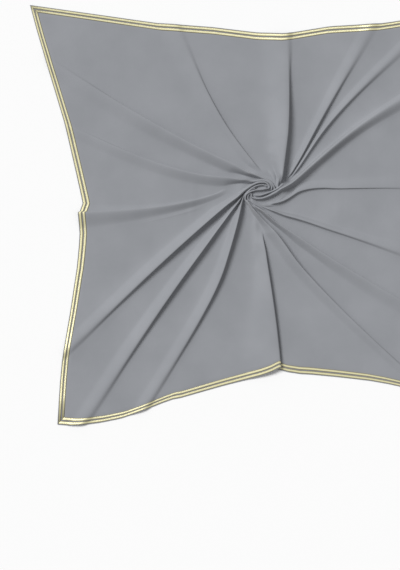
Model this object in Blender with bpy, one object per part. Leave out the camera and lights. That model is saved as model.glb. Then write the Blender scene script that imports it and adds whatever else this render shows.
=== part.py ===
"""A square headscarf laid out flat, with its middle twisted into a swirl that gathers folds all round.

The cloth is one thin wall, lofted through rings round the swirl. Every fold of the table below keeps
its own columns from the swirl to the hem. Two metallic ribbons run along each of the four sides.
Sizes are in millimetres up to the last step, and the finished meshes are in metres.
"""

import math
from collections import namedtuple

import bpy
import numpy as np

MM = 0.001

# Cloth
WALL = 1.2
LYING = 0.01
RIBBON_LIFT = 0.3
RIBBON_WALL = 0.8
SEAM = 0.3

# Border, measured inward from the hem
BORDER = 19.5
RIBBONS = {"outer": (2.0, 8.5), "inner": (11.0, 17.5)}
BORDER_RINGS = (17.5, 11.0, 8.5, 2.0, 0.0)
SIDE_STEPS = 240

# Rings round the swirl: fixed radii near it, then shares of the way to the border
INNER_RINGS = (5.0, 9.0, 13.5, 18.5, 24.0, 31.0, 39.0, 48.0, 60.0, 76.0, 97.0, 122.0, 150.0)
OUTER_SHARES = (0.12, 0.26, 0.42, 0.6, 0.8, 1.0)
CORE_RADIUS = 76.0

# Swirl: the turn of the cloth, in degrees, falls off with the distance from the middle
TWIST = 2688.0
TWIST_CORE = 14.0
TWIST_FADE = 144.0
SWIRL_AXIS = math.radians(24.0)
SWIRL_STRETCH = 0.32
SWIRL_REACH = 45.0

# Gathered cloth stands higher towards the swirl
GATHER_HEIGHT = 9.0
GATHER_RADIUS = 24.0
GATHER_SPREAD = 26.0
EYE_DEPTH = 7.0
EYE_DISTANCE = 8.0
EYE_SIZE = 6.5

# The radius that each azimuth and height of the fold table belongs to
EYE, RIM, NEAR, MID, HEM = 27.0, 45.0, 90.0, 200.0, 500.0

# Corners of the hem, from the middle of the swirl
CORNERS = {
    "right_top": (535.0, 432.0),
    "top_left": (-557.0, 444.0),
    "left_bottom": (-491.0, -563.0),
    "bottom_right": (542.0, -547.0),
}

# How far the twist has drawn each side in from the straight line between its corners:
# share of the way along the side, counterclockwise, and depth
Pull = namedtuple("Pull", "share depth")
SIDES = {
    "top": [
        Pull(0.00, 0), Pull(0.12, 15), Pull(0.22, 34), Pull(0.34, 43), Pull(0.44, 62), Pull(0.50, 60),
        Pull(0.60, 48), Pull(0.72, 40), Pull(0.86, 20), Pull(1.00, 0),
    ],
    "left": [
        Pull(0.000, 0), Pull(0.060, 12), Pull(0.169, 37), Pull(0.290, 65), Pull(0.400, 83),
        Pull(0.470, 94), Pull(0.4945, 97), Pull(0.4975, 83), Pull(0.554, 83), Pull(0.589, 78),
        Pull(0.631, 71), Pull(0.671, 62), Pull(0.735, 48), Pull(0.789, 35), Pull(0.859, 19),
        Pull(0.918, 10), Pull(0.977, 3), Pull(1.000, 0),
    ],
    "bottom": [
        Pull(0.000, 0), Pull(0.030, -3), Pull(0.052, -2), Pull(0.099, 3), Pull(0.146, 12),
        Pull(0.181, 24), Pull(0.239, 46), Pull(0.262, 55), Pull(0.286, 59), Pull(0.332, 72),
        Pull(0.379, 85), Pull(0.426, 97), Pull(0.472, 109), Pull(0.496, 117), Pull(0.519, 129),
        Pull(0.542, 115), Pull(0.556, 113), Pull(0.588, 111), Pull(0.665, 102), Pull(0.730, 93),
        Pull(0.800, 79), Pull(0.890, 52), Pull(0.960, 20), Pull(1.000, 0),
    ],
    "right": [
        Pull(0.00, 0), Pull(0.12, 24), Pull(0.24, 48), Pull(0.36, 70), Pull(0.47, 82), Pull(0.58, 92),
        Pull(0.62, 90), Pull(0.74, 66), Pull(0.88, 28), Pull(1.00, 0),
    ],
}
SIDE_ENDS = {
    "top": ("right_top", "top_left"),
    "left": ("top_left", "left_bottom"),
    "bottom": ("left_bottom", "bottom_right"),
    "right": ("bottom_right", "right_top"),
}

# Folds, counterclockwise. Azimuths are those of the cloth before the twist, in degrees, at five radii.
# Widths reach from the crest to the foot on the clockwise and counterclockwise side, near and at the hem.
# A positive lean is counterclockwise, and one over 0.64 folds the steep flank back under its crest.
Fold = namedtuple(
    "Fold",
    "name eye rim near mid hem cw_near ccw_near cw_hem ccw_hem high_near high_mid high_hem lean start",
)
FOLDS = [
    Fold("north_east", 57, 43, 36.6, 36.8, 32.3, 11, 9, 22, 22, 14, 12, 4, 0.3, 8),
    Fold("north_cleft", 66, 55, 46.6, 49.4, 46.0, 5, 4, 22, 20, 6, 8, 3, -0.4, 62),
    Fold("north_pleat", 70, 59, 51.5, 54.6, 57.5, 5, 8, 20, 22, 7, 9, 3, -0.6, 54),
    Fold("north_flap", 78, 71.5, 72.7, 76.5, 83, 9, 36, 20, 70, 17, 15, 5, -0.85, 20),
    Fold("north_crease", 140, 138, 131, 125.5, 119.5, 6, 16, 18, 34, 5, 6, 3, -0.7, 44),
    Fold("north_west", 159, 162, 156.4, 152.5, 149.8, 9, 12, 18, 34, 13, 11, 4, -0.8, 9),
    Fold("west_long", 184, 184.5, 179, 172.5, 163.3, 8, 12, 16, 30, 10, 8, 3, -0.8, 10),
    Fold("west_tuck", 206, 204, 200, 195.4, 188.9, 11, 12, 12, 40, 3, 9, 12, -0.7, 74),
    Fold("west_ramp", 210, 212, 209, 202.0, 194.8, 8, 8, 6, 6, 2, 4, 1, 0.0, 120),
    Fold("south_west_high", 225, 229.5, 221.4, 218.6, 220.2, 10, 8, 24, 20, 14, 12, 5, 0.4, 8),
    Fold("south_west_mid", 238, 240, 233.3, 231, 233.0, 8, 8, 22, 20, 13, 12, 5, 0.4, 34),
    Fold("south_west_low", 245, 248, 249, 249.4, 242.6, 9, 7, 22, 20, 13, 11, 5, 0.4, 30),
    Fold("south_tuck", 248, 264, 284, 280.2, 277.4, 14, 7, 60, 40, 4, 10, 11, 0.75, 86),
    Fold("south_east_low", 253, 281.5, 299.5, 302, 310.0, 13, 8, 20, 12, 15, 12, 5, 0.85, 10),
    Fold("south_east_mid", 268, 302, 313.0, 319.3, 325.2, 9, 7, 22, 14, 13, 11, 5, 0.75, 9),
    Fold("south_east_high", 288, 320, 333, 336.2, 338.7, 6, 8, 18, 24, 8, 6, 3, -0.4, 40),
    Fold("east", 312, 346, 376.0, 367.4, 362.3, 7, 12, 12, 30, 6, 3, 2, -0.8, 30),
]
FULL_TURN = 360.0

# Shares of a fold's width where its columns stand, from the soft side over the crest to the steep side
FOLD_COLUMNS = (-1.0, -0.45, 0.0, 0.4, 0.75, 1.0)
SMALL_FOLD_COLUMNS = (-1.0, -0.4, 0.0, 0.55, 1.0)
SMALL_FOLD_HEIGHT = 9.0
MOST_CROWDED = 0.94
WIDE_GAP = 8.0
NARROWING = 0.85
LEAN_START, LEAN_FULL = 35.0, 110.0
START_LENGTH, START_SHARE = 8.0, 0.45
SOFT_HEM_LEAN = 0.55
TUCK_HEIGHT = 8.0
NARROW_CREST, MOST_NARROW = 1.9, 0.8

CLOTH_COLOUR = (0.285, 0.295, 0.315, 1.0)
RIBBON_COLOUR = (0.74, 0.66, 0.38, 1.0)

Column = namedtuple("Column", "place share")


def smooth_table(at, stations, values):
    """A cubic curve through a short table: each station's slope is its neighbours', or none at a turn."""
    at = np.clip(np.asarray(at, float), stations[0], stations[-1])
    stations = np.asarray(stations, float)
    values = np.asarray(values, float)
    slopes = np.gradient(values, stations)
    steps = np.diff(values)
    slopes[1:-1][steps[:-1] * steps[1:] <= 0] = 0.0
    spot = np.clip(np.searchsorted(stations, at, side="right") - 1, 0, len(stations) - 2)
    span = stations[spot + 1] - stations[spot]
    t = (at - stations[spot]) / span
    rise = values[spot + 1] - values[spot]
    start, end = slopes[spot] * span, slopes[spot + 1] * span
    return values[spot] + t * start + t * t * (3 * rise - 2 * start - end) + t**3 * (start + end - 2 * rise)


def ease(value):
    value = np.clip(value, 0.0, 1.0)
    return value * value * (3.0 - 2.0 * value)


def twist(radius):
    """Degrees by which the cloth at this radius has been turned clockwise."""
    return TWIST / (np.hypot(radius, TWIST_CORE) * (1.0 + radius / TWIST_FADE))


def chord(side):
    """Start, length, direction and inward normal of the straight line between a side's corners."""
    start, end = (np.array(CORNERS[name]) for name in SIDE_ENDS[side])
    length = np.hypot(*(end - start))
    along = (end - start) / length
    return start, length, along, np.array([-along[1], along[0]])


def mitre(side, at_end):
    """The step from a corner of the hem to the same corner of the border's inner edge."""
    names = list(SIDE_ENDS)
    other = names[(names.index(side) + (1 if at_end else -1)) % len(names)]
    mine, others = chord(side)[3], chord(other)[3]
    return (mine + others) * BORDER / (1.0 + mine @ others)


def hem_line(side, share):
    """Points of the hem and of the border's inner edge at these shares of a side."""
    start, length, along, inward = chord(side)
    depth = np.interp(share, [pull.share for pull in SIDES[side]], [pull.depth for pull in SIDES[side]])
    outer = start + np.outer(share * length, along) + np.outer(depth, inward)
    slide = mitre(side, False) @ along * (1 - share) + mitre(side, True) @ along * share
    return outer, outer + inward * BORDER + np.outer(slide, along)


def border_lines():
    """The hem and the border's inner edge all round, with the azimuth of each inner point."""
    steps = np.arange(SIDE_STEPS) / SIDE_STEPS
    hem, inner = (np.concatenate(rows) for rows in zip(*(hem_line(side, steps) for side in SIDES)))
    azimuth = np.degrees(np.unwrap(np.arctan2(inner[:, 1], inner[:, 0])))
    hem, inner = (np.concatenate([line, line, line]) for line in (hem, inner))
    azimuth = np.concatenate([azimuth - FULL_TURN, azimuth, azimuth + FULL_TURN])
    return azimuth, hem, inner


def corner_folds():
    """A fold with no height on the line to each corner, so that a column ends on the mitre."""
    azimuths = {
        "right_top": (62, 50, 42.5, 42.4),
        "top_left": (150, 151, 144, 140),
        "left_bottom": (231, 235, 227.5, 225),
        "bottom_right": (260, 292, 306.5, 311),
    }
    folds = []
    for side, (corner, _) in SIDE_ENDS.items():
        _, inner = hem_line(side, np.array([0.0]))
        radius = np.hypot(*inner[0])
        hem = math.degrees(math.atan2(inner[0][1], inner[0][0])) % FULL_TURN + twist(radius)
        folds.append(Fold(corner, *azimuths[corner], hem, *([0.0] * 8), NEAR))
    return folds


def all_folds():
    return sorted(FOLDS + corner_folds(), key=lambda fold: fold.mid)


def fold_shape(folds, reach):
    """Crest azimuth, clockwise and counterclockwise extent, height and lean of every fold on one ring."""
    at = np.log([EYE, RIM, NEAR, MID, HEM])
    here = math.log(np.clip(reach, EYE, HEM))
    crest = np.array([smooth_table(here, at, fold[1:6]) for fold in folds])
    grown = ease((reach - NEAR) / (HEM - NEAR)) if reach > NEAR else 0.0
    near_hem = ease((reach - MID) / (HEM - MID))
    small = min(1.0, (reach / NEAR) ** NARROWING)
    clockwise = np.array([small * (fold.cw_near + (fold.cw_hem - fold.cw_near) * grown) for fold in folds])
    counter = np.array([small * (fold.ccw_near + (fold.ccw_hem - fold.ccw_near) * grown) for fold in folds])
    heights = [(fold.high_near, fold.high_mid, fold.high_hem) for fold in folds]
    starts = np.array([fold.start for fold in folds])
    begun = ease((reach - starts) / (START_LENGTH + START_SHARE * starts))
    high = np.array([np.interp(reach, (NEAR, MID, HEM), height) for height in heights]) * begun
    kept = np.array([1.0 if fold.high_hem > TUCK_HEIGHT else SOFT_HEM_LEAN for fold in folds])
    lean = np.array([fold.lean for fold in folds]) * (1.0 - (1.0 - kept) * near_hem)
    lean = lean * begun**2 * ease((reach - LEAN_START) / (LEAN_FULL - LEAN_START))
    return crest, clockwise, counter, high, lean


def extents(clockwise, counter, lean):
    """Distance of each foot from its crest: the lean moves both feet back under it."""
    steep = np.where(lean > 0, counter, clockwise)
    return clockwise + lean * steep, counter - lean * steep


def uncrowd(crest, clockwise, counter, lean, radius):
    """Narrows neighbouring folds until their feet no longer meet."""
    back, front = extents(clockwise, counter, lean)
    gap = np.radians(np.diff(np.append(crest, crest[0] + FULL_TURN))) * radius
    share = np.minimum(1.0, MOST_CROWDED * gap / np.maximum(front + np.roll(back, -1), 1e-6))
    return np.minimum(share, np.roll(share, 1))


def columns_of(folds):
    """Columns in order round the swirl: those of each fold, then one in the middle of a wide gap."""
    columns = []
    for place, fold in enumerate(folds):
        if fold.high_mid == 0:
            columns.append(Column(place, 0.0))
            continue
        shares = FOLD_COLUMNS if fold.high_mid > SMALL_FOLD_HEIGHT else SMALL_FOLD_COLUMNS
        shares = shares if fold.lean > 0 else tuple(-share for share in reversed(shares))
        columns += [Column(place, share) for share in shares]
        following = folds[(place + 1) % len(folds)]
        if (following.mid - fold.mid) % FULL_TURN > WIDE_GAP:
            columns.append(Column(place, None))
    return columns


def ring(folds, columns, reach, radius_at, spread=False):
    """Azimuth after the twist, radius and height of every column on one ring.

    With spread, the columns of a fold stand evenly between its feet, as on the flat floor under it.
    """
    crest, clockwise, counter, high, lean = fold_shape(folds, reach)
    radius = radius_at(crest)
    narrow = uncrowd(crest, clockwise, counter, lean, radius)
    clockwise, counter = clockwise * narrow, counter * narrow
    high = high * np.sqrt(narrow)
    back, front = extents(clockwise, counter, lean)
    azimuth, height = [], []
    for place, share in columns:
        if share is None:
            after = (place + 1) % len(folds)
            foot = crest[place] + math.degrees(front[place] / radius[place])
            wrap = FULL_TURN if after == 0 else 0.0
            next_foot = crest[after] + wrap - math.degrees(back[after] / radius[after])
            azimuth.append((foot + next_foot) / 2)
            height.append(0.0)
            continue
        bump = math.cos(math.pi * share / 2) ** 2
        steep = counter[place] if lean[place] > 0 else clockwise[place]
        side = counter[place] if share > 0 else clockwise[place]
        across = share * side + lean[place] * steep * (bump - 1)
        if spread:
            across = (front[place] + back[place]) * (share + 1) / 2 - back[place]
        azimuth.append(crest[place] + math.degrees(across / radius[place]))
        height.append(high[place] * bump)
    azimuth = np.array(azimuth)
    radius = radius_at(azimuth)
    return azimuth - twist(radius), radius, np.array(height)


def swirl_point(azimuth, radius):
    """Plan position: circles near the middle become slanted ellipses."""
    angle = np.radians(azimuth) - SWIRL_AXIS
    stretch = SWIRL_STRETCH * np.exp(-((radius / SWIRL_REACH) ** 2))
    long = radius * (1 + stretch) * np.cos(angle)
    short = radius * (1 - stretch) * np.sin(angle)
    cos, sin = math.cos(SWIRL_AXIS), math.sin(SWIRL_AXIS)
    return np.stack([cos * long - sin * short, sin * long + cos * short], axis=1)


def gathered(plan, radius):
    """How far the valleys stand above the table: a low crater with two eyes in it."""
    raised = GATHER_HEIGHT * np.exp(-((np.maximum(radius - GATHER_RADIUS, 0) / GATHER_SPREAD) ** 2))
    across = np.array([-math.sin(SWIRL_AXIS), math.cos(SWIRL_AXIS)])
    for side in (-1.0, 1.0):
        distance = np.hypot(*(plan - across * side * EYE_DISTANCE).T)
        raised = raised - EYE_DEPTH * np.exp(-((distance / EYE_SIZE) ** 2))
    return np.maximum(raised, 0.0)


def cloth_rings(folds, columns):
    """Points of the cloth's upper face, ring by ring from the swirl outwards."""
    line_azimuth, hem, inner = border_lines()
    reach_in = np.hypot(*inner.T)
    rings = []
    for radius in INNER_RINGS:
        azimuth, radii, height = ring(folds, columns, radius, lambda angle, r=radius: np.full(len(angle), r))
        plan = swirl_point(azimuth, radii)
        rings.append(np.column_stack([plan, WALL + height + gathered(plan, radii)]))
    last = INNER_RINGS[-1]
    for share in OUTER_SHARES:
        def radius_at(angle, share=share):
            turned = angle - twist(np.interp(angle, line_azimuth, reach_in))
            return last + (np.interp(turned, line_azimuth, reach_in) - last) * share

        azimuth, radii, height = ring(folds, columns, last + (HEM - last) * share, radius_at)
        plan = swirl_point(azimuth, radii)
        rings.append(np.column_stack([plan, WALL + height + gathered(plan, radii)]))
    edge = rings[-1]
    at = np.degrees(np.arctan2(edge[:, 1], edge[:, 0]))
    near_at = np.interp(at, line_azimuth, np.arange(len(line_azimuth)))
    hem_points = np.column_stack([np.interp(near_at, np.arange(len(hem)), hem[:, axis]) for axis in (0, 1)])
    for inset in BORDER_RINGS:
        plan = hem_points + (edge[:, :2] - hem_points) * inset / BORDER
        rings.append(np.column_stack([plan, edge[:, 2]]))
    return np.array(rings)


def ring_normals(rings):
    """Upward normals of a closed grid of rings."""
    across = np.roll(rings, -1, axis=1) - np.roll(rings, 1, axis=1)
    outward = np.gradient(rings, axis=0)
    normal = np.cross(outward, across)
    return normal / np.linalg.norm(normal, axis=2, keepdims=True)


def underside(rings, folds, columns):
    """The lower face: one wall below the upper one, flat on the table, and closed under the swirl."""
    lower = rings - ring_normals(rings) * WALL
    for index, (place, share) in enumerate(columns):
        if share == 0.0 and folds[place].high_mid > 0:
            beside = np.linalg.norm(rings[:, index + 1] - rings[:, index - 1], axis=1)
            room = np.cos(np.minimum(NARROW_CREST * WALL / beside, MOST_NARROW)) ** 2
            crest = rings[:, index, 2] * room - WALL
            lower[:, index, 2] = np.minimum(lower[:, index, 2], crest)
    lower[..., 2] = np.where(rings[..., 2] > WALL + LYING, np.maximum(lower[..., 2], 0.0), 0.0)
    first = INNER_RINGS.index(CORE_RADIUS)
    azimuth, radius, _ = ring(
        folds, columns, CORE_RADIUS, lambda angle: np.full(len(angle), CORE_RADIUS), spread=True
    )
    lower[first] = np.column_stack([swirl_point(azimuth, radius), np.zeros(len(columns))])
    return lower[first:]


def ring_faces(rows, width, flip=False):
    """Triangles between neighbouring rings, split along the same diagonal on both faces of the cloth."""
    faces = []
    for row in range(rows - 1):
        for column in range(width):
            here, beside = row * width + column, row * width + (column + 1) % width
            faces.append((here, here + width, beside + width))
            faces.append((here, beside + width, beside))
    return [face[::-1] for face in faces] if flip else faces


def material(name, colour, roughness, metallic):
    finish = bpy.data.materials.new(name)
    finish.use_nodes = True
    finish.diffuse_color = colour
    shader = finish.node_tree.nodes["Principled BSDF"]
    shader.inputs["Base Color"].default_value = colour
    shader.inputs["Roughness"].default_value = roughness
    shader.inputs["Metallic"].default_value = metallic
    return finish


def add_piece(name, points, faces, finish, collection, middle):
    """One named object, moved so that the middle of the scarf stands on the origin."""
    mesh = bpy.data.meshes.new(name)
    points = (np.asarray(points) - [*middle, 0.0]) * MM
    mesh.from_pydata(points.tolist(), [], faces)
    mesh.materials.append(finish)
    mesh.shade_smooth()
    piece = bpy.data.objects.new(name, mesh)
    collection.objects.link(piece)
    return piece


def add_cloth(rings, lower, finish, collection, middle):
    """The cloth: upper face with a middle point, lower face, and the hem between them."""
    rows, width = rings.shape[:2]
    upper = rings.reshape(-1, 3)
    under = lower.reshape(-1, 3)
    peak = np.append(rings[0, :, :2].mean(axis=0), rings[0, :, 2].mean())
    points = np.concatenate([upper, under, [peak]])
    first_under = len(upper)
    faces = ring_faces(rows, width)
    below = ring_faces(len(lower), width, flip=True)
    faces += [tuple(first_under + corner for corner in face) for face in below]
    last_upper = (rows - 1) * width
    last_under = first_under + (len(lower) - 1) * width
    for column in range(width):
        beside = (column + 1) % width
        faces.append((last_upper + column, last_under + column, last_under + beside, last_upper + beside))
        faces.append((len(points) - 1, column, beside))
    faces.append(tuple(first_under + column for column in reversed(range(width))))
    return add_piece("scarf_cloth", points, faces, finish, collection, middle)


def add_ribbon(name, rings, normals, start, stop, rows, finish, collection, middle):
    """A flat ribbon over part of the border, from one mitre to the next, a seam's gap short of each."""
    width = rings.shape[1]
    picked = [column % width for column in range(start, stop + 1)]
    strip = rings[rows][:, picked].copy()
    lift = normals[rows][:, picked]
    for end, inner in ((0, 1), (-1, -2)):
        step = strip[:, inner] - strip[:, end]
        strip[:, end] += step / np.linalg.norm(step, axis=1, keepdims=True) * SEAM
    low = strip + lift * RIBBON_LIFT
    high = strip + lift * (RIBBON_LIFT + RIBBON_WALL)
    section = np.stack([low[0], low[1], high[1], high[0]], axis=1)
    count = len(picked)
    points = section.reshape(-1, 3)
    faces = []
    for column in range(count - 1):
        for corner in range(4):
            following = (corner + 1) % 4
            faces.append((
                column * 4 + corner,
                (column + 1) * 4 + corner,
                (column + 1) * 4 + following,
                column * 4 + following,
            ))
    faces.append((0, 1, 2, 3))
    faces.append(tuple((count - 1) * 4 + corner for corner in reversed(range(4))))
    return add_piece(name, points, faces, finish, collection, middle)


def build():
    for obj in list(bpy.data.objects):
        bpy.data.objects.remove(obj, do_unlink=True)
    scarf = bpy.data.collections.new("headscarf")
    bpy.context.scene.collection.children.link(scarf)
    folds = all_folds()
    columns = columns_of(folds)
    rings = cloth_rings(folds, columns)
    hem = rings[-1, :, :2]
    middle = (hem.min(axis=0) + hem.max(axis=0)) / 2
    cloth = material("scarf crepe", CLOTH_COLOUR, 0.85, 0.0)
    add_cloth(rings, underside(rings, folds, columns), cloth, scarf, middle)
    normals = ring_normals(rings)
    ribbon = material("metallic ribbon", RIBBON_COLOUR, 0.35, 0.7)
    corner_at = {
        folds[column.place].name: index
        for index, column in enumerate(columns)
        if folds[column.place].name in CORNERS
    }
    border = (BORDER, *BORDER_RINGS)
    first = len(rings) - len(border)
    for side, (start, end) in SIDE_ENDS.items():
        stop = corner_at[end]
        if stop < corner_at[start]:
            stop += len(columns)
        for place, insets in RIBBONS.items():
            rows = [first + border.index(inset) for inset in reversed(insets)]
            name = f"ribbon_{place}_{side}"
            add_ribbon(name, rings, normals, corner_at[start], stop, rows, ribbon, scarf, middle)


build()
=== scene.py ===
"""Looks of the square headscarf: fine crepe twisted into a swirl, with two metallic ribbons round it."""

import math
from collections import namedtuple

import bpy
import numpy as np
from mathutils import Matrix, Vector, noise


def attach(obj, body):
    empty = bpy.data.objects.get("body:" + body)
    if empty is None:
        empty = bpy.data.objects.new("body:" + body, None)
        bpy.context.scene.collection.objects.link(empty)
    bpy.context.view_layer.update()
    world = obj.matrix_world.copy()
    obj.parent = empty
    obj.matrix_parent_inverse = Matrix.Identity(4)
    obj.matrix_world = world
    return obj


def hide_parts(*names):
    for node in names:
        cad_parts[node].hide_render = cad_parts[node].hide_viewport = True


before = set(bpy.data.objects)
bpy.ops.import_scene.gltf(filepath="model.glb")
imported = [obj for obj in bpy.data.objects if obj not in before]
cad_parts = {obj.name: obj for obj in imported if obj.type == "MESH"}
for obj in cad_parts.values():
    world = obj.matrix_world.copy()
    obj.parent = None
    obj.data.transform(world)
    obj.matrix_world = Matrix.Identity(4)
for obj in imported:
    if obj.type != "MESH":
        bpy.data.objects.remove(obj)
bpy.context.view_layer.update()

MM = 0.001

# Thickness of the cloth, height of its upper face over the table, and the least of its lower face
CLOTH = 0.45
CLOTH_TOP = 0.75
LOWEST = 0.05

# Border, measured inward from the hem
BORDER = 19.5
RIBBONS = {"outer": (2.0, 8.5), "inner": (11.0, 17.5)}
SIDE_STEPS = 240

# Swirl: the turn of the cloth, in degrees, falls off with the distance from the middle
TWIST = 2688.0
TWIST_CORE = 14.0
TWIST_FADE = 144.0
SWIRL_AXIS = math.radians(24.0)
SWIRL_STRETCH = 0.32
SWIRL_REACH = 45.0

# Gathered cloth stands higher towards the swirl
GATHER_HEIGHT = 9.0
GATHER_RADIUS = 24.0
GATHER_SPREAD = 26.0
EYE_DEPTH = 7.0
EYE_DISTANCE = 8.0
EYE_SIZE = 6.5

# The radius that each azimuth and height of the fold table belongs to
EYE, RIM, NEAR, MID, HEM = 27.0, 45.0, 90.0, 200.0, 500.0
LAST_CIRCLE = 150.0

CORNERS = {
    "right_top": (535.0, 432.0),
    "top_left": (-557.0, 444.0),
    "left_bottom": (-491.0, -563.0),
    "bottom_right": (542.0, -547.0),
}

# How far the twist has drawn each side in from the straight line between its corners
Pull = namedtuple("Pull", "share depth")
SIDES = {
    "top": [
        Pull(0.00, 0), Pull(0.12, 15), Pull(0.22, 34), Pull(0.34, 43), Pull(0.44, 62), Pull(0.50, 60),
        Pull(0.60, 48), Pull(0.72, 40), Pull(0.86, 20), Pull(1.00, 0),
    ],
    "left": [
        Pull(0.000, 0), Pull(0.060, 12), Pull(0.169, 37), Pull(0.290, 65), Pull(0.400, 83),
        Pull(0.470, 94), Pull(0.4945, 97), Pull(0.4975, 83), Pull(0.554, 83), Pull(0.589, 78),
        Pull(0.631, 71), Pull(0.671, 62), Pull(0.735, 48), Pull(0.789, 35), Pull(0.859, 19),
        Pull(0.918, 10), Pull(0.977, 3), Pull(1.000, 0),
    ],
    "bottom": [
        Pull(0.000, 0), Pull(0.030, -3), Pull(0.052, -2), Pull(0.099, 3), Pull(0.146, 12),
        Pull(0.181, 24), Pull(0.239, 46), Pull(0.262, 55), Pull(0.286, 59), Pull(0.332, 72),
        Pull(0.379, 85), Pull(0.426, 97), Pull(0.472, 109), Pull(0.496, 117), Pull(0.519, 129),
        Pull(0.542, 115), Pull(0.556, 113), Pull(0.588, 111), Pull(0.665, 102), Pull(0.730, 93),
        Pull(0.800, 79), Pull(0.890, 52), Pull(0.960, 20), Pull(1.000, 0),
    ],
    "right": [
        Pull(0.00, 0), Pull(0.12, 24), Pull(0.24, 48), Pull(0.36, 70), Pull(0.47, 82), Pull(0.58, 92),
        Pull(0.62, 90), Pull(0.74, 66), Pull(0.88, 28), Pull(1.00, 0),
    ],
}
SIDE_ENDS = {
    "top": ("right_top", "top_left"),
    "left": ("top_left", "left_bottom"),
    "bottom": ("left_bottom", "bottom_right"),
    "right": ("bottom_right", "right_top"),
}

# Folds, counterclockwise, as in the solid, but the thin cloth leans further over its steep side,
# and the two tucks, the ramp beside one of them and the long west fold differ a little in size.
# Azimuths are those of the cloth before the twist, in degrees.
Fold = namedtuple(
    "Fold",
    "name eye rim near mid hem cw_near ccw_near cw_hem ccw_hem high_near high_mid high_hem lean start",
)
FOLDS = [
    Fold("north_east", 57, 43, 36.6, 36.8, 32.3, 11, 9, 22, 22, 14, 12, 4, 0.3, 8),
    Fold("north_cleft", 66, 55, 46.6, 49.4, 46.0, 5, 4, 22, 20, 6, 8, 3, -0.4, 62),
    Fold("north_pleat", 70, 59, 51.5, 54.6, 57.5, 5, 8, 20, 22, 7, 9, 3, -0.6, 54),
    Fold("north_flap", 78, 71.5, 72.7, 76.5, 83, 9, 36, 20, 70, 17, 15, 5, -0.85, 20),
    Fold("north_crease", 140, 138, 131, 125.5, 119.5, 6, 16, 18, 34, 5, 6, 3, -0.7, 44),
    Fold("north_west", 159, 162, 156.4, 152.5, 149.8, 9, 12, 18, 34, 13, 11, 4, -1.2, 9),
    Fold("west_long", 184, 184.5, 179, 172.5, 163.3, 8, 12, 12, 24, 10, 8, 3, -1.25, 10),
    Fold("west_tuck", 206, 204, 200, 195.4, 188.9, 11, 12, 12, 40, 3, 9, 12, -0.8, 74),
    Fold("west_ramp", 210, 212, 209, 202.0, 194.8, 8, 8, 6, 6, 1, 1, 0.5, 0.0, 120),
    Fold("south_west_high", 225, 229.5, 221.4, 218.6, 220.2, 10, 8, 24, 20, 14, 12, 5, 1.0, 8),
    Fold("south_west_mid", 238, 240, 233.3, 231, 233.0, 8, 8, 22, 20, 13, 12, 5, 1.0, 34),
    Fold("south_west_low", 245, 248, 249, 249.4, 242.6, 9, 7, 22, 20, 13, 11, 5, 1.0, 30),
    Fold("south_tuck", 248, 264, 284, 280.2, 277.4, 14, 7, 40, 34, 5, 10, 11, 1.2, 86),
    Fold("south_east_low", 253, 281.5, 299.5, 302, 310.0, 13, 8, 20, 12, 15, 12, 5, 1.35, 10),
    Fold("south_east_mid", 268, 302, 313.0, 319.3, 325.2, 9, 7, 22, 14, 13, 11, 5, 1.2, 9),
    Fold("south_east_high", 288, 320, 333, 336.2, 338.7, 6, 8, 18, 24, 8, 6, 3, -0.4, 40),
    Fold("east", 312, 346, 376.0, 367.4, 362.3, 7, 12, 12, 30, 6, 3, 2, -0.8, 30),
]
CORNER_AZIMUTHS = {
    "right_top": (62, 50, 42.5, 42.4),
    "top_left": (150, 151, 144, 140),
    "left_bottom": (231, 235, 227.5, 225),
    "bottom_right": (260, 292, 306.5, 311),
}
FULL_TURN = 360.0
MOST_CROWDED = 0.94
NARROWING = 0.85
LEAN_START, LEAN_FULL = 35.0, 110.0
START_LENGTH, START_SHARE = 8.0, 0.45
SOFT_HEM_LEAN = 0.2
TUCK_HEIGHT = 8.0

# The thin cloth stands prouder than the solid by this share near the swirl, and not at all at the hem
PROUDER = 0.35

# How finely the shown cloth is divided
FOLD_STEPS = 14
GAP_STEP = 2.7
FIRST_CIRCLE, CORE_EDGE = 2.0, 52.0
CORE_CIRCLES, WIDE_CIRCLES, OUTER_ROWS = 54, 24, 38

# A fold's section is a round tube near the swirl and a soft wave far from it
TUBE_POWER, WAVE_POWER = 0.6, 0.85
TUBE_REACH, WAVE_REACH = 60.0, 260.0

# The cloth rises towards the foot of a fold, by these shares of its height
STEEP_SKIRT, SLOW_SKIRT = 0.16, 0.10
SKIRT_NEAR, SKIRT_HEM = 7.0, 18.0
SKIRT_START, SKIRT_FULL = 42.0, 95.0

Column = namedtuple("Column", "place share part")


def smooth_table(at, stations, values):
    """A cubic curve through a short table: each station's slope is its neighbours', or none at a turn."""
    at = np.clip(np.asarray(at, float), stations[0], stations[-1])
    stations = np.asarray(stations, float)
    values = np.asarray(values, float)
    slopes = np.gradient(values, stations)
    steps = np.diff(values)
    slopes[1:-1][steps[:-1] * steps[1:] <= 0] = 0.0
    spot = np.clip(np.searchsorted(stations, at, side="right") - 1, 0, len(stations) - 2)
    span = stations[spot + 1] - stations[spot]
    t = (at - stations[spot]) / span
    rise = values[spot + 1] - values[spot]
    start, end = slopes[spot] * span, slopes[spot + 1] * span
    return values[spot] + t * start + t * t * (3 * rise - 2 * start - end) + t**3 * (start + end - 2 * rise)


def ease(value):
    value = np.clip(value, 0.0, 1.0)
    return value * value * (3.0 - 2.0 * value)


def twist(radius):
    """Degrees by which the cloth at this radius has been turned clockwise."""
    return TWIST / (np.hypot(radius, TWIST_CORE) * (1.0 + radius / TWIST_FADE))


def chord(side):
    """Start, length, direction and inward normal of the straight line between a side's corners."""
    start, end = (np.array(CORNERS[name]) for name in SIDE_ENDS[side])
    length = np.hypot(*(end - start))
    along = (end - start) / length
    return start, length, along, np.array([-along[1], along[0]])


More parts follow.
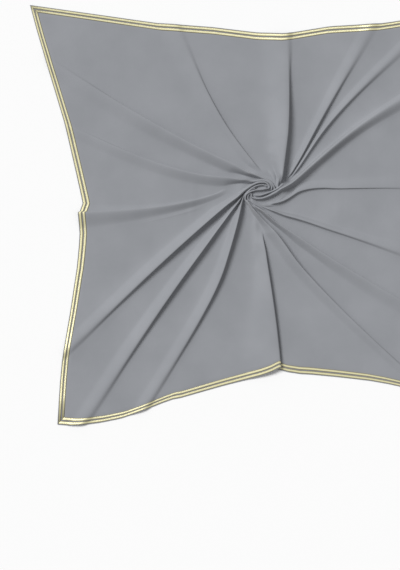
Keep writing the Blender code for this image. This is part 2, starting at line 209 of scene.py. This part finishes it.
def mitre(side, at_end):
    """The step from a corner of the hem to the same corner of the border's inner edge."""
    names = list(SIDE_ENDS)
    other = names[(names.index(side) + (1 if at_end else -1)) % len(names)]
    mine, others = chord(side)[3], chord(other)[3]
    return (mine + others) * BORDER / (1.0 + mine @ others)


def hem_line(side, share):
    """Points of the hem and of the border's inner edge at these shares of a side."""
    start, length, along, inward = chord(side)
    depth = np.interp(share, [pull.share for pull in SIDES[side]], [pull.depth for pull in SIDES[side]])
    outer = start + np.outer(share * length, along) + np.outer(depth, inward)
    slide = mitre(side, False) @ along * (1 - share) + mitre(side, True) @ along * share
    return outer, outer + inward * BORDER + np.outer(slide, along)


def border_lines():
    """The hem and the border's inner edge all round, with the azimuth of each inner point."""
    steps = np.arange(SIDE_STEPS) / SIDE_STEPS
    hem, inner = (np.concatenate(rows) for rows in zip(*(hem_line(side, steps) for side in SIDES)))
    azimuth = np.degrees(np.unwrap(np.arctan2(inner[:, 1], inner[:, 0])))
    hem, inner = (np.concatenate([line, line, line]) for line in (hem, inner))
    azimuth = np.concatenate([azimuth - FULL_TURN, azimuth, azimuth + FULL_TURN])
    return azimuth, hem, inner


def all_folds():
    """The folds, and a flat one on the line to each corner, so that a column ends on its mitre."""
    folds = list(FOLDS)
    for side, (corner, _) in SIDE_ENDS.items():
        _, inner = hem_line(side, np.array([0.0]))
        radius = np.hypot(*inner[0])
        hem = math.degrees(math.atan2(inner[0][1], inner[0][0])) % FULL_TURN + twist(radius)
        folds.append(Fold(corner, *CORNER_AZIMUTHS[corner], hem, *([0.0] * 8), NEAR))
    return sorted(folds, key=lambda fold: fold.mid)


def fold_shape(folds, reach):
    """Crest azimuth, clockwise and counterclockwise extent, height and lean of every fold on one ring."""
    at = np.log([EYE, RIM, NEAR, MID, HEM])
    here = math.log(np.clip(reach, EYE, HEM))
    crest = np.array([smooth_table(here, at, fold[1:6]) for fold in folds])
    grown = ease((reach - NEAR) / (HEM - NEAR)) if reach > NEAR else 0.0
    near_hem = ease((reach - MID) / (HEM - MID))
    small = min(1.0, (reach / NEAR) ** NARROWING)
    clockwise = np.array([small * (fold.cw_near + (fold.cw_hem - fold.cw_near) * grown) for fold in folds])
    counter = np.array([small * (fold.ccw_near + (fold.ccw_hem - fold.ccw_near) * grown) for fold in folds])
    heights = [(fold.high_near, fold.high_mid, fold.high_hem) for fold in folds]
    starts = np.array([fold.start for fold in folds])
    begun = ease((reach - starts) / (START_LENGTH + START_SHARE * starts))
    high = np.array([np.interp(reach, (NEAR, MID, HEM), height) for height in heights]) * begun
    high = high * (1.0 + PROUDER * (1.0 - near_hem))
    kept = np.array([1.0 if fold.high_hem > TUCK_HEIGHT else SOFT_HEM_LEAN for fold in folds])
    lean = np.array([fold.lean for fold in folds]) * (1.0 - (1.0 - kept) * near_hem)
    lean = lean * begun**2 * ease((reach - LEAN_START) / (LEAN_FULL - LEAN_START))
    return crest, clockwise, counter, high, lean


def extents(clockwise, counter, lean):
    """Distance of each foot from its crest: the lean moves both feet back under it."""
    steep = np.where(lean > 0, counter, clockwise)
    return clockwise + lean * steep, counter - lean * steep


def uncrowd(crest, clockwise, counter, lean, radius):
    """Narrows neighbouring folds until their feet no longer meet."""
    back, front = extents(clockwise, counter, lean)
    gap = np.radians(np.diff(np.append(crest, crest[0] + FULL_TURN))) * radius
    share = np.minimum(1.0, MOST_CROWDED * gap / np.maximum(front + np.roll(back, -1), 1e-6))
    return np.minimum(share, np.roll(share, 1))


def columns_of(folds):
    """Columns in order round the swirl: those across each fold, then those of the gap after it."""
    columns = []
    for place, fold in enumerate(folds):
        following = folds[(place + 1) % len(folds)]
        gap = (following.mid - fold.mid) % FULL_TURN
        if fold.high_mid == 0:
            columns.append(Column(place, 0.0, None))
        else:
            shares = np.linspace(-1.0, 1.0, FOLD_STEPS + 1)
            columns += [Column(place, share, None) for share in shares]
        between = max(1, round(gap / GAP_STEP))
        columns += [Column(place, None, (step + 1) / (between + 1)) for step in range(between)]
    return columns


def ring(folds, columns, reach, radius_at):
    """Azimuth before the twist, radius and height of every column on one ring."""
    crest, clockwise, counter, high, lean = fold_shape(folds, reach)
    radius = radius_at(crest)
    narrow = uncrowd(crest, clockwise, counter, lean, radius)
    clockwise, counter = clockwise * narrow, counter * narrow
    high = high * np.sqrt(narrow)
    back, front = extents(clockwise, counter, lean)
    azimuth, bumps = [], []
    power = TUBE_POWER + (WAVE_POWER - TUBE_POWER) * ease((reach - TUBE_REACH) / (WAVE_REACH - TUBE_REACH))
    for place, share, part in columns:
        if share is None:
            after = (place + 1) % len(folds)
            foot = crest[place] + math.degrees(front[place] / radius[place])
            wrap = FULL_TURN if after == 0 else 0.0
            next_foot = crest[after] + wrap - math.degrees(back[after] / radius[after])
            azimuth.append(foot + (next_foot - foot) * part)
            bumps.append(0.0)
            continue
        bump = (math.cos(math.pi * share / 2) ** 2) ** power
        steep = counter[place] if lean[place] > 0 else clockwise[place]
        side = counter[place] if share > 0 else clockwise[place]
        across = share * side + lean[place] * steep * (bump - 1)
        azimuth.append(crest[place] + math.degrees(across / radius[place]))
        bumps.append(bump if high[place] > 0 else 0.0)
    azimuth, bumps = np.array(azimuth), np.array(bumps)
    skirts = skirt_heights(columns, azimuth, reach, crest, radius, back, front, high, lean)
    tops = np.maximum(high[[column.place for column in columns]], skirts)
    return azimuth, radius_at(azimuth), skirts + (tops - skirts) * bumps


def skirt_heights(columns, azimuth, reach, crest, radius, back, front, high, lean):
    """How far the cloth has risen at each column towards the feet of the folds round it."""
    length = SKIRT_NEAR + (SKIRT_HEM - SKIRT_NEAR) * ease((reach - NEAR) / (HEM - NEAR))
    begun = ease((reach - SKIRT_START) / (SKIRT_FULL - SKIRT_START))
    turned = (azimuth[:, None] - crest + FULL_TURN / 2) % FULL_TURN - FULL_TURN / 2
    away = np.radians(turned) * radius
    beyond = np.where(away > 0, away - front, -away - back)
    steep, slow = STEEP_SKIRT * high * begun, SLOW_SKIRT * high * begun
    rise = np.where((away > 0) == (lean > 0), steep, slow)
    skirts = rise * np.exp(-np.maximum(beyond, 0.0) / length)
    ahead, behind = np.where(lean > 0, steep, slow), np.where(lean > 0, slow, steep)
    for spot, (place, share, _) in enumerate(columns):
        if share is not None:
            skirts[spot, place] = behind[place] + (ahead[place] - behind[place]) * ease((share + 1) / 2)
    return skirts.sum(axis=1)


def swirl_point(azimuth, radius):
    """Plan position: circles near the middle become slanted ellipses."""
    angle = np.radians(azimuth) - SWIRL_AXIS
    stretch = SWIRL_STRETCH * np.exp(-((radius / SWIRL_REACH) ** 2))
    long = radius * (1 + stretch) * np.cos(angle)
    short = radius * (1 - stretch) * np.sin(angle)
    cos, sin = math.cos(SWIRL_AXIS), math.sin(SWIRL_AXIS)
    return np.stack([cos * long - sin * short, sin * long + cos * short], axis=1)


def gathered(plan, radius):
    """How far the valleys stand above the table: a low crater with two eyes in it."""
    raised = GATHER_HEIGHT * np.exp(-((np.maximum(radius - GATHER_RADIUS, 0) / GATHER_SPREAD) ** 2))
    across = np.array([-math.sin(SWIRL_AXIS), math.cos(SWIRL_AXIS)])
    for side in (-1.0, 1.0):
        distance = np.hypot(*(plan - across * side * EYE_DISTANCE).T)
        raised = raised - EYE_DEPTH * np.exp(-((distance / EYE_SIZE) ** 2))
    return np.maximum(raised, 0.0)


# The wound middle: pleats listed from outside to inside, in millimetres from the swirl.
# Each pleat's half width and height are given at its outer and its inner end.
Strand = namedtuple("Strand", "name points wide narrow high low")
STRANDS = [
    Strand("north_west", [(-53, 54), (-23, 38.5), (-1, 29.5), (14.5, 22.5), (24.5, 14), (29, 5), (30, 0)],
           6.5, 2.6, 12, 6.5),
    Strand("west_long", [(-53, 21), (-23, 20.5), (-1, 22.5), (11, 20.5), (19.5, 14), (23, 5.5), (22, 0)],
           6.0, 2.2, 9, 7.0),
    Strand("south_west_high", [(-73, -26), (-53, -9.5), (-37, 2.6), (-23, 11.5), (-9, 17), (4.5, 17.5),
                               (13, 13.5), (17, 6.5), (14.5, 1)], 6.5, 2.0, 13, 7.5),
    Strand("south_west_mid", [(-73, -53), (-55, -31), (-44, -15.5), (-33, -3.5), (-21, 5.6), (-9.5, 10.5),
                              (3, 11.5), (10, 8)], 6.0, 1.8, 12, 6.0),
    Strand("south_west_low", [(-63, -99), (-58, -69), (-55, -49), (-49, -31), (-44, -19.5), (-38, -9.5),
                              (-29, -1.5), (-17, 4)], 6.0, 1.8, 12, 6.0),
    Strand("south_east_low", [(26.5, -81), (-1.5, -57), (-23, -41), (-35, -31), (-41, -22), (-39.5, -13.5),
                              (-32, -7), (-19, -2), (-1.5, 0), (14, 3)], 6.0, 2.0, 12, 8.0),
    Strand("south_east_mid", [(66, -81), (36.5, -65), (10.5, -51), (-9.5, -39), (-25, -29.5), (-34, -20.5),
                              (-33.5, -13.5), (-28, -9)], 5.5, 1.8, 11, 6.0),
    Strand("south_east_high", [(76, -59), (36.5, -49), (6.5, -42), (-13, -36), (-26, -27)], 4.5, 2.0, 7, 5.0),
    Strand("east", [(84, -4), (60, -15), (40, -28), (22, -37), (3, -38), (-12, -33), (-24, -25)],
           7.0, 2.2, 7, 5.5),
    Strand("north_east", [(86, 36.5), (62, 15.5), (42, -1), (26.5, -10), (10.5, -17.5), (-5.5, -21.5),
                          (-19, -20.5), (-26, -15.5), (-26, -10.5)], 8.5, 2.0, 13, 8.0),
    Strand("north_east_inner", [(50, 12), (34, 1), (20, -5.5), (6, -10.5), (-7, -14), (-17, -13.5)],
           4.0, 1.8, 10, 6.5),
    Strand("north_flap", [(52, 62), (40, 34), (37, 14), (35.5, 1), (30, -4)], 9.0, 2.6, 12, 5.0),
    Strand("north_flap_body", [(20, 70), (24, 45), (30, 24), (33, 10)], 14.0, 4.0, 8, 3.0),
]
STRANDS_FULL, STRANDS_GONE = 34.0, 56.0
STRAND_STEP = 1.0
STRAND_POWER = 0.6
STRAND_TAPER = 0.7
SOFTEST_MEETING = 0.9
CORE_HEIGHT = 7.0
CORE_SPREAD = 40.0


def curve_through(points, step):
    """A smooth line through these points, sampled about every step."""
    points = np.asarray(points, float)
    reach = np.append(0.0, np.cumsum(np.hypot(*np.diff(points, axis=0).T)))
    at = np.linspace(0.0, reach[-1], max(2, int(reach[-1] / step)))
    return np.column_stack([smooth_table(at, reach, points[:, axis]) for axis in (0, 1)])


def strand_heights(plan, radius):
    """Height of the wound pleats: the highest one shows, and they meet in narrow valleys."""
    total = np.zeros(len(plan))
    for strand in STRANDS:
        line = curve_through(strand.points, STRAND_STEP)
        away = np.hypot(plan[:, None, 0] - line[None, :, 0], plan[:, None, 1] - line[None, :, 1])
        nearest = away.argmin(axis=1)
        along = nearest / (len(line) - 1)
        wide = strand.wide + (strand.narrow - strand.wide) * along**STRAND_TAPER
        high = strand.high + (strand.low - strand.high) * along
        share = np.minimum(away[np.arange(len(plan)), nearest] / wide, 1.0)
        total += np.exp((high * (1 - share**2) ** STRAND_POWER) / SOFTEST_MEETING) - 1.0
    base = CORE_HEIGHT * np.exp(-((radius / CORE_SPREAD) ** 2))
    return base + SOFTEST_MEETING * np.log1p(total)


def cloth_rings(folds, columns):
    """Points of the cloth's upper face, ring by ring outwards, and where each lay when flat."""
    line_azimuth, hem, inner = border_lines()
    reach_in = np.hypot(*inner.T)
    rings, flats = [], []

    def add(azimuth, radii, height):
        plan = swirl_point(azimuth - twist(radii), radii)
        rings.append(np.column_stack([plan, CLOTH_TOP + height + gathered(plan, radii)]))
        if radii.max() < STRANDS_GONE:
            kept = ease((radii - STRANDS_FULL) / (STRANDS_GONE - STRANDS_FULL))
            wound = CLOTH_TOP + strand_heights(plan, radii)
            rings[-1][:, 2] = rings[-1][:, 2] * kept + wound * (1 - kept)
        angle = np.radians(azimuth)
        flats.append(np.column_stack([radii * np.cos(angle), radii * np.sin(angle)]))

    circles = np.append(
        np.linspace(FIRST_CIRCLE, CORE_EDGE, CORE_CIRCLES),
        np.geomspace(CORE_EDGE, LAST_CIRCLE, WIDE_CIRCLES + 1)[1:],
    )
    for radius in circles:
        add(*ring(folds, columns, radius, lambda angle, r=radius: np.full(len(angle), r)))
    for share in np.linspace(0.0, 1.0, OUTER_ROWS + 1)[1:]:
        def radius_at(angle, share=share):
            turned = angle - twist(np.interp(angle, line_azimuth, reach_in))
            edge_reach = np.interp(turned, line_azimuth, reach_in)
            return LAST_CIRCLE + (edge_reach - LAST_CIRCLE) * share

        add(*ring(folds, columns, LAST_CIRCLE + (HEM - LAST_CIRCLE) * share, radius_at))
    edge, flat_edge = rings[-1], flats[-1]
    at = np.degrees(np.arctan2(edge[:, 1], edge[:, 0]))
    near_at = np.interp(at, line_azimuth, np.arange(len(line_azimuth)))
    hem_points = np.column_stack([np.interp(near_at, np.arange(len(hem)), hem[:, axis]) for axis in (0, 1)])
    for inset, bead in HEM_PROFILE:
        plan = hem_points + (edge[:, :2] - hem_points) * inset / BORDER
        rings.append(np.column_stack([plan, edge[:, 2] + bead]))
        flats.append(flat_edge * (1 + (BORDER - inset) / np.hypot(*flat_edge.T)[:, None]))
    return np.array(rings), np.array(flats)


# Insets of the border's rows, with the height of the rolled hem at the edge
HEM_PROFILE = [
    (17.5, 0.0), (14.25, 0.0), (11.0, 0.0), (8.5, 0.0), (5.25, 0.0), (2.2, 0.0),
    (1.9, 0.35), (1.4, 0.6), (0.7, 0.55), (0.15, 0.2), (0.0, -0.15),
]


def unit_normals(rings):
    """Upward normals of a closed grid of rings."""
    across = np.roll(rings, -1, axis=1) - np.roll(rings, 1, axis=1)
    outward = np.gradient(rings, axis=0)
    normal = np.cross(outward, across)
    return normal / np.maximum(np.linalg.norm(normal, axis=2, keepdims=True), 1e-9)


# Packing creases and dents: points on the plan from the swirl, width, and height up or down
Crease = namedtuple("Crease", "name points width high")
CREASES = [
    Crease("packing_west", [(-166, 20), (-167, -40), (-165, -108)], 4, 1.0),
    Crease("packing_south_west", [(-210, -206), (-210, -242)], 4, 0.8),
    Crease("packing_east", [(182, 0), (183, -65)], 4, 0.8),
    Crease("dent_west", [(-48, -36), (-46, -60), (-24, -72)], 5, -1.5),
    Crease("south_rise", [(-16, -70), (-15, -150)], 7, 1.8),
    Crease("flap_dent", [(19, 113), (26, 79)], 5, -2.0),
]


def crease_heights(plan):
    """How far the creases raise or lower these plan positions."""
    raised = np.zeros(plan.shape[:-1])
    for crease in CREASES:
        points = np.array(crease.points, float)
        nearest = np.full(plan.shape[:-1], 1e9)
        for start, end in zip(points[:-1], points[1:]):
            along = end - start
            share = np.clip(((plan - start) @ along) / (along @ along), 0.0, 1.0)
            away = plan - start - share[..., None] * along
            nearest = np.minimum(nearest, np.hypot(away[..., 0], away[..., 1]))
        raised += crease.high * np.exp(-((nearest / crease.width) ** 2))
    return raised


# Soft unevenness of the lying cloth, none in the swirl and little in the border
WAVE_SIZE = 95.0
WAVE_HEIGHT = 1.1
WAVE_START, WAVE_GROWTH = 60.0, 60.0
BORDER_WAVES = 0.35


def waves(plan):
    """A low, smooth unevenness, never below the table."""
    flat = plan.reshape(-1, 2)
    raised = [noise.noise(Vector((x / WAVE_SIZE, y / WAVE_SIZE, 0.5))) for x, y in flat]
    return WAVE_HEIGHT * (0.5 + 0.5 * np.array(raised)).reshape(plan.shape[:-1])


def quad_rings(rows, width, flip=False):
    """Four-sided faces between neighbouring rings of one closed grid."""
    row, column = np.meshgrid(np.arange(rows - 1), np.arange(width), indexing="ij")
    here = row * width + column
    beside = row * width + (column + 1) % width
    faces = np.stack([here, here + width, beside + width, beside], axis=-1).reshape(-1, 4)
    return faces[:, ::-1] if flip else faces


def add_object(name, points, faces, finish, uv=None):
    """A smooth mesh piece of the object, from millimetres round the swirl."""
    mesh = bpy.data.meshes.new(name)
    points = (np.asarray(points, float) - [*MIDDLE, 0.0]) * MM
    mesh.from_pydata(points.tolist(), [], [tuple(int(i) for i in face) for face in faces])
    mesh.materials.append(finish)
    mesh.shade_smooth()
    if uv is not None:
        layer = mesh.uv_layers.new(name="cloth")
        corners = np.empty(len(mesh.loops), np.int64)
        mesh.loops.foreach_get("vertex_index", corners)
        layer.data.foreach_set("uv", np.asarray(uv, np.float32)[corners].ravel())
    piece = bpy.data.objects.new(name, mesh)
    bpy.context.scene.collection.objects.link(piece)
    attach(piece, "root")
    return piece


def add_cloth(rings, flats, finish):
    """The thin cloth: upper and lower face, the middle of the swirl, and the hem's outer edge."""
    rows, width = rings.shape[:2]
    lower = rings - unit_normals(rings) * CLOTH
    lower[..., 2] = np.maximum(lower[..., 2], LOWEST)
    count = rows * width
    faces = [tuple(face) for face in quad_rings(rows, width)]
    faces += [tuple(face + count) for face in quad_rings(rows, width, flip=True)]
    last = (rows - 1) * width
    peak, under = 2 * count, 2 * count + 1
    for column in range(width):
        beside = (column + 1) % width
        faces.append((last + column, count + last + column, count + last + beside, last + beside))
        faces.append((peak, column, beside))
        faces.append((under, count + beside, count + column))
    middles = [rings[0].mean(axis=0), lower[0].mean(axis=0)]
    points = np.concatenate([rings.reshape(-1, 3), lower.reshape(-1, 3), middles])
    flat = np.concatenate([flats.reshape(-1, 2)] * 2 + [np.zeros((2, 2))]) * MM
    return add_object("crepe_cloth", points, faces, finish, flat)


# Colours: the crepe and its cloudy tones, and the ribbon from its darkest edges to its pale middle
CREPE = (0.29, 0.30, 0.32)
CREPE_DEEP, CREPE_PALE = (0.272, 0.282, 0.302, 1.0), (0.305, 0.315, 0.337, 1.0)
CREPE_GRAIN = (0.72, 0.72, 0.74, 1.0)
RIBBON = (0.80, 0.73, 0.44)
RIBBON_EDGE_DARK, OLIVE, PALE_GOLD = (0.16, 0.13, 0.055, 1.0), (0.42, 0.36, 0.17, 1.0), (0.95, 0.90, 0.56, 1.0)
PAPER = (0.93, 0.93, 0.93)

# Waves and noise for each metre of cloth, and the depth of the weave's relief in metres
THREADS, PEBBLES, CLOUDS, RIBS = 420.0, 1500.0, 9.0, 260.0
RELIEF = 0.0002


def shader(name, colour, roughness):
    """A new material, with its node tree, its links and its main shader."""
    finish = bpy.data.materials.new(name)
    finish.use_nodes = True
    nodes, links = finish.node_tree.nodes, finish.node_tree.links
    main = nodes["Principled BSDF"]
    main.inputs["Base Color"].default_value = (*colour, 1.0)
    main.inputs["Roughness"].default_value = roughness
    return finish, nodes, links, main


def crepe():
    """Dull grey crepe: uneven fine threads, a pebbly surface and a little sheen."""
    finish, nodes, links, main = shader("grey crepe", CREPE, 0.82)
    main.inputs["Sheen Weight"].default_value = 0.25
    main.inputs["Sheen Roughness"].default_value = 0.45
    main.inputs["Specular IOR Level"].default_value = 0.25
    flat = nodes.new("ShaderNodeUVMap")
    flat.uv_map = "cloth"
    pebbles = nodes.new("ShaderNodeTexNoise")
    pebbles.inputs["Scale"].default_value = PEBBLES
    pebbles.inputs["Detail"].default_value = 3.0
    links.new(flat.outputs["UV"], pebbles.inputs["Vector"])
    heights = []
    for direction in ("X", "Y"):
        threads = nodes.new("ShaderNodeTexWave")
        threads.bands_direction = direction
        threads.inputs["Scale"].default_value = THREADS
        threads.inputs["Distortion"].default_value = 1.6
        threads.inputs["Detail"].default_value = 1.0
        links.new(flat.outputs["UV"], threads.inputs["Vector"])
        heights.append(threads.outputs["Fac"])
    weave = nodes.new("ShaderNodeMath")
    weave.operation = "MAXIMUM"
    links.new(heights[0], weave.inputs[0])
    links.new(heights[1], weave.inputs[1])
    blend = nodes.new("ShaderNodeMix")
    blend.inputs["Factor"].default_value = 0.5
    links.new(weave.outputs["Value"], blend.inputs["A"])
    links.new(pebbles.outputs["Fac"], blend.inputs["B"])
    bump = nodes.new("ShaderNodeBump")
    bump.inputs["Strength"].default_value = 0.35
    bump.inputs["Distance"].default_value = RELIEF
    links.new(blend.outputs["Result"], bump.inputs["Height"])
    links.new(bump.outputs["Normal"], main.inputs["Normal"])
    clouds = nodes.new("ShaderNodeTexNoise")
    clouds.inputs["Scale"].default_value = CLOUDS
    clouds.inputs["Detail"].default_value = 4.0
    links.new(flat.outputs["UV"], clouds.inputs["Vector"])
    tones = nodes.new("ShaderNodeValToRGB")
    tones.color_ramp.elements[0].position = 0.3
    tones.color_ramp.elements[0].color = CREPE_DEEP
    tones.color_ramp.elements[1].position = 0.7
    tones.color_ramp.elements[1].color = CREPE_PALE
    links.new(clouds.outputs["Fac"], tones.inputs["Fac"])
    speckle = nodes.new("ShaderNodeMix")
    speckle.data_type = "RGBA"
    speckle.blend_type = "MULTIPLY"
    speckle.inputs["Factor"].default_value = 0.35
    grains = nodes.new("ShaderNodeValToRGB")
    grains.color_ramp.elements[0].color = CREPE_GRAIN
    links.new(pebbles.outputs["Fac"], grains.inputs["Fac"])
    links.new(tones.outputs["Color"], speckle.inputs["A"])
    links.new(grains.outputs["Color"], speckle.inputs["B"])
    links.new(speckle.outputs["Result"], main.inputs["Base Color"])
    return finish


def gold_weave():
    """Pale metallic ribbon: ribs across it, its colour darker olive towards both edges."""
    finish, nodes, links, main = shader("metallic ribbon weave", RIBBON, 0.34)
    main.inputs["Metallic"].default_value = 0.25
    flat = nodes.new("ShaderNodeUVMap")
    flat.uv_map = "cloth"
    split = nodes.new("ShaderNodeSeparateXYZ")
    links.new(flat.outputs["UV"], split.inputs["Vector"])
    # Across the ribbon the colour goes from pale gold in the middle to olive, and to the darkest colour at
    # both edges.
    edges = nodes.new("ShaderNodeValToRGB")
    ramp = edges.color_ramp
    ramp.elements[0].color = RIBBON_EDGE_DARK
    ramp.elements[1].color = RIBBON_EDGE_DARK
    for position in (0.14, 0.86):
        ramp.elements.new(position).color = OLIVE
    for position in (0.26, 0.74):
        ramp.elements.new(position).color = PALE_GOLD
    links.new(split.outputs["Y"], edges.inputs["Fac"])
    threads = nodes.new("ShaderNodeTexWave")
    threads.bands_direction = "X"
    threads.inputs["Scale"].default_value = RIBS
    threads.inputs["Distortion"].default_value = 0.6
    links.new(flat.outputs["UV"], threads.inputs["Vector"])
    glint = nodes.new("ShaderNodeMix")
    glint.data_type = "RGBA"
    glint.blend_type = "MULTIPLY"
    glint.inputs["Factor"].default_value = 0.3
    links.new(edges.outputs["Color"], glint.inputs["A"])
    links.new(threads.outputs["Color"], glint.inputs["B"])
    links.new(glint.outputs["Result"], main.inputs["Base Color"])
    bump = nodes.new("ShaderNodeBump")
    bump.inputs["Strength"].default_value = 0.5
    bump.inputs["Distance"].default_value = RELIEF
    links.new(threads.outputs["Fac"], bump.inputs["Height"])
    links.new(bump.outputs["Normal"], main.inputs["Normal"])
    return finish


# Section of the shown ribbon: share of its width, and height over the cloth
RIBBON_SECTION = [
    (0.0, 0.05), (0.0, 0.28), (0.06, 0.42), (0.3, 0.52), (0.5, 0.55), (0.7, 0.52), (0.94, 0.42), (1.0, 0.28),
    (1.0, 0.05),
]
SEAM = 0.3


def add_ribbon(name, edge, hem, normals, start, stop, insets, finish):
    """One woven ribbon along a side, from mitre to mitre."""
    width = len(edge)
    picked = [column % width for column in range(start, stop + 1)]
    outer = hem[picked] + (edge[picked] - hem[picked]) * insets[0] / BORDER
    inner = hem[picked] + (edge[picked] - hem[picked]) * insets[1] / BORDER
    for line in (outer, inner):
        for end, beside in ((0, 1), (-1, -2)):
            step = line[beside] - line[end]
            line[end] += step / np.linalg.norm(step) * SEAM
    lift = normals[picked]
    section = [inner + (outer - inner) * share + lift * high for share, high in RIBBON_SECTION]
    points = np.stack(section, axis=1)
    length = np.append(0.0, np.cumsum(np.linalg.norm(np.diff(outer, axis=0), axis=1)))
    across = [np.column_stack([length * MM, np.full(len(length), share)]) for share, _ in RIBBON_SECTION]
    uv = np.stack(across, axis=1)
    count = len(RIBBON_SECTION)
    faces = []
    for column in range(len(picked) - 1):
        for corner in range(count):
            following = (corner + 1) % count
            here, beyond = column * count, (column + 1) * count
            faces.append((here + corner, here + following, beyond + following, beyond + corner))
    faces.append(tuple(reversed(range(count))))
    last = (len(picked) - 1) * count
    faces.append(tuple(last + corner for corner in range(count)))
    return add_object(name, points.reshape(-1, 3), faces, finish, uv.reshape(-1, 2))


folds = all_folds()
columns = columns_of(folds)
rings, flats = cloth_rings(folds, columns)
hem_plan = rings[-1, :, :2]
MIDDLE = (hem_plan.min(axis=0) + hem_plan.max(axis=0)) / 2
settled = ease((np.hypot(rings[..., 0], rings[..., 1]) - WAVE_START) / WAVE_GROWTH)
inside = np.ones(len(rings))
inside[-len(HEM_PROFILE):] = BORDER_WAVES
rings[..., 2] += waves(rings[..., :2]) * settled * inside[:, None]
rings[..., 2] = np.maximum(rings[..., 2] + crease_heights(rings[..., :2]), CLOTH_TOP)

cloth = add_cloth(rings, flats, crepe())
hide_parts("scarf_cloth")

corner_at = {
    folds[column.place].name: index
    for index, column in enumerate(columns)
    if folds[column.place].name in CORNERS and column.share == 0.0
}
first_border = len(rings) - len(HEM_PROFILE) - 1
border_edge = rings[first_border]
flat_hem = rings[-1].copy()
flat_hem[:, 2] = border_edge[:, 2]
border_normals = unit_normals(rings)[first_border + 2]
ribbon_finish = gold_weave()
for side, (start, end) in SIDE_ENDS.items():
    stop = corner_at[end]
    if stop < corner_at[start]:
        stop += len(columns)
    for place, insets in RIBBONS.items():
        piece = add_ribbon(
            f"woven_ribbon_{place}_{side}", border_edge, flat_hem, border_normals,
            corner_at[start], stop, insets, ribbon_finish,
        )
        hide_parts(f"ribbon_{place}_{side}")

# Floor
FLOOR_SIZE = 60.0
bpy.ops.mesh.primitive_plane_add(size=FLOOR_SIZE, location=(0.0, 0.0, 0.0))
floor = bpy.context.object
floor.name = "floor"
paper = shader("pale floor", PAPER, 0.9)[0]
floor.data.materials.append(paper)

# Camera: straight above, as in the photograph
FRAME_HEIGHT = 1.368
CAMERA_HEIGHT = 3.0
FRAME_OFFSET = (-148.8, -228.0)
SENSOR = 36.0
lens = bpy.data.cameras.new("camera")
lens.sensor_width = SENSOR
lens.lens = SENSOR * CAMERA_HEIGHT / FRAME_HEIGHT
camera = bpy.data.objects.new("camera", lens)
camera.location = (
    (FRAME_OFFSET[0] - MIDDLE[0]) * MM,
    (FRAME_OFFSET[1] - MIDDLE[1]) * MM,
    CAMERA_HEIGHT,
)
bpy.context.scene.collection.objects.link(camera)
bpy.context.scene.camera = camera

# Light: a broad soft one from the upper left, and a pale room all round
KEY_ANGLE, KEY_ENERGY = 26.0, 2.8
ROOM_STRENGTH = 0.38
SUN_FROM = Vector((-0.62, 0.52, 0.9))
world = bpy.data.worlds.new("room")
world.use_nodes = True
world.node_tree.nodes["Background"].inputs["Color"].default_value = (1.0, 1.0, 1.0, 1.0)
world.node_tree.nodes["Background"].inputs["Strength"].default_value = ROOM_STRENGTH
bpy.context.scene.world = world
key = bpy.data.lights.new("key", "SUN")
key.angle = math.radians(KEY_ANGLE)
key.energy = KEY_ENERGY
key_light = bpy.data.objects.new("key", key)
key_light.rotation_euler = SUN_FROM.to_track_quat("Z", "Y").to_euler()
bpy.context.scene.collection.objects.link(key_light)
bpy.context.scene.view_settings.view_transform = "Standard"
